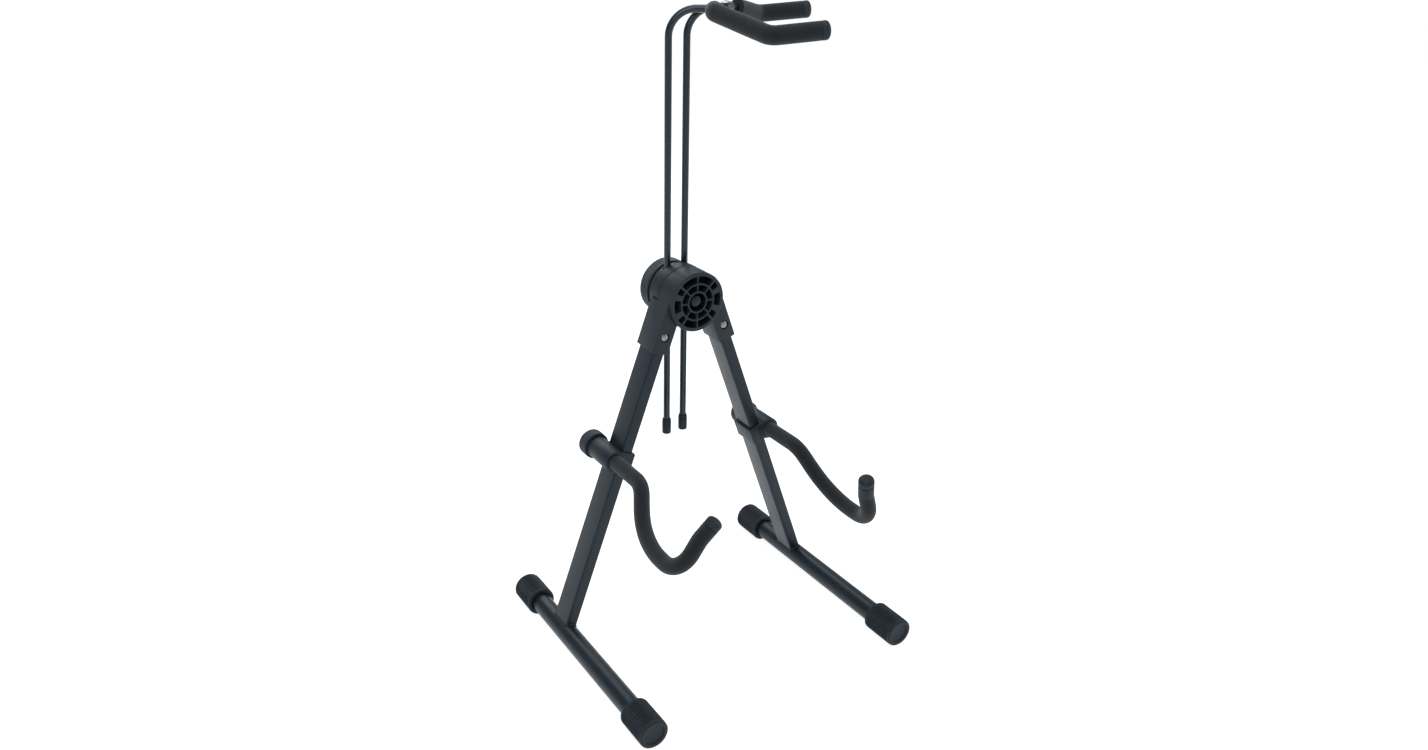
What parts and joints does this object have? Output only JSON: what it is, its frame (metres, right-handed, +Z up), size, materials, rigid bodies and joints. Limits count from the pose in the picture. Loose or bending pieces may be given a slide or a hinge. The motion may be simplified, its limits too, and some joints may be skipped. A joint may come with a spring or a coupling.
{
  "type": "guitar stand",
  "caption": "Folding A-frame guitar stand with a clamped hub, sliding neck rods with a foam yoke, sliding swivelling foam arms and rubber-capped feet.",
  "frame": {"origin": "On the floor under the middle of the four feet", "axes": "+Z up, -Y to the front where the arms reach, +X to the right leg seen from the front"},
  "size_m": [0.3866, 0.331, 0.7434],
  "materials": {
    "hub_plastic": "satin fine-grained black",
    "painted_steel": "satin black powder coat",
    "rod_paint": "semi-gloss black paint",
    "cap_rubber": "matte ribbed black rubber",
    "grip_foam": "matte closed-cell foam",
    "nickel_plate": "bright nickel plate"
  },
  "bodies": {
    "hub": {"hub_bolt": "painted_steel", "hinge_friction_disc": "cap_rubber", "hub_spacer": "nickel_plate", "hub_knob_washer": "nickel_plate", "rod_clamp_block": "hub_plastic"},
    "hub_knob": {"hub_knob": "hub_plastic", "hub_knob_insert": "nickel_plate"},
    "left_leg": {"left_bracket": "hub_plastic", "left_leg": "painted_steel", "left_foot_tube": "painted_steel", "left_front_foot_cap": "cap_rubber", "left_rear_foot_cap": "cap_rubber", "left_bracket_screw": "nickel_plate", "left_bracket_nut": "nickel_plate"},
    "left_neck": {"left_neck_rod": "rod_paint", "left_neck_foam": "grip_foam", "left_neck_tip_cap": "cap_rubber", "left_neck_end_cap": "cap_rubber"},
    "left_clamp": {"left_leg_clamp": "hub_plastic", "left_arm_washer": "nickel_plate"},
    "left_arm": {"left_arm_rod": "rod_paint", "left_arm_foam": "grip_foam", "left_arm_tip_cap": "cap_rubber"},
    "left_arm_knob": {"left_arm_knob": "hub_plastic", "left_arm_knob_insert": "nickel_plate"},
    "right_leg": {"right_bracket": "hub_plastic", "right_leg": "painted_steel", "right_foot_tube": "painted_steel", "right_front_foot_cap": "cap_rubber", "right_rear_foot_cap": "cap_rubber", "right_bracket_screw": "nickel_plate", "right_bracket_nut": "nickel_plate"},
    "right_neck": {"right_neck_rod": "rod_paint", "right_neck_foam": "grip_foam", "right_neck_tip_cap": "cap_rubber", "right_neck_end_cap": "cap_rubber"},
    "right_clamp": {"right_leg_clamp": "hub_plastic", "right_arm_washer": "nickel_plate"},
    "right_arm": {"right_arm_rod": "rod_paint", "right_arm_foam": "grip_foam", "right_arm_tip_cap": "cap_rubber"},
    "right_arm_knob": {"right_arm_knob": "hub_plastic", "right_arm_knob_insert": "nickel_plate"}
  },
  "joints": [
    {"name": "hub_knob_turn", "type": "hinge", "parent": "hub", "child": "hub_knob", "pos_m": [0, 0.061, 0.41975], "axis": [0, 1, 0], "continuous": true},
    {"name": "left_leg_fold", "type": "hinge", "parent": "hub", "child": "left_leg", "pos_m": [0, 0.061, 0.41975], "axis": [0, -1, 0], "range_deg": [0, 20.38]},
    {"name": "left_neck_slide", "type": "slide", "parent": "hub", "child": "left_neck", "axis": [0, 0, 1], "range_m": [-0.225, 0.13]},
    {"name": "left_clamp_slide", "type": "slide", "parent": "left_leg", "child": "left_clamp", "axis": [0.3482, 0, 0.9374], "range_m": [-0.13, 0.12]},
    {"name": "left_arm_swivel", "type": "hinge", "parent": "left_clamp", "child": "left_arm", "pos_m": [-0.10832, 0.061, 0.24045], "axis": [0, 1, 0], "range_deg": [-45, 165]},
    {"name": "left_arm_knob_turn", "type": "hinge", "parent": "left_arm", "child": "left_arm_knob", "pos_m": [-0.10832, 0.061, 0.24045], "axis": [0, 1, 0], "continuous": true},
    {"name": "right_leg_fold", "type": "hinge", "parent": "hub", "child": "right_leg", "pos_m": [0, 0.061, 0.41975], "axis": [0, 1, 0], "range_deg": [0, 20.38]},
    {"name": "right_neck_slide", "type": "slide", "parent": "hub", "child": "right_neck", "axis": [0, 0, 1], "range_m": [-0.225, 0.13]},
    {"name": "right_clamp_slide", "type": "slide", "parent": "right_leg", "child": "right_clamp", "axis": [-0.3482, 0, 0.9374], "range_m": [-0.13, 0.12]},
    {"name": "right_arm_swivel", "type": "hinge", "parent": "right_clamp", "child": "right_arm", "pos_m": [0.11271, 0.061, 0.22864], "axis": [0, -1, 0], "range_deg": [-26, 184]},
    {"name": "right_arm_knob_turn", "type": "hinge", "parent": "right_arm", "child": "right_arm_knob", "pos_m": [0.11271, 0.061, 0.22864], "axis": [0, 1, 0], "continuous": true}
  ]
}
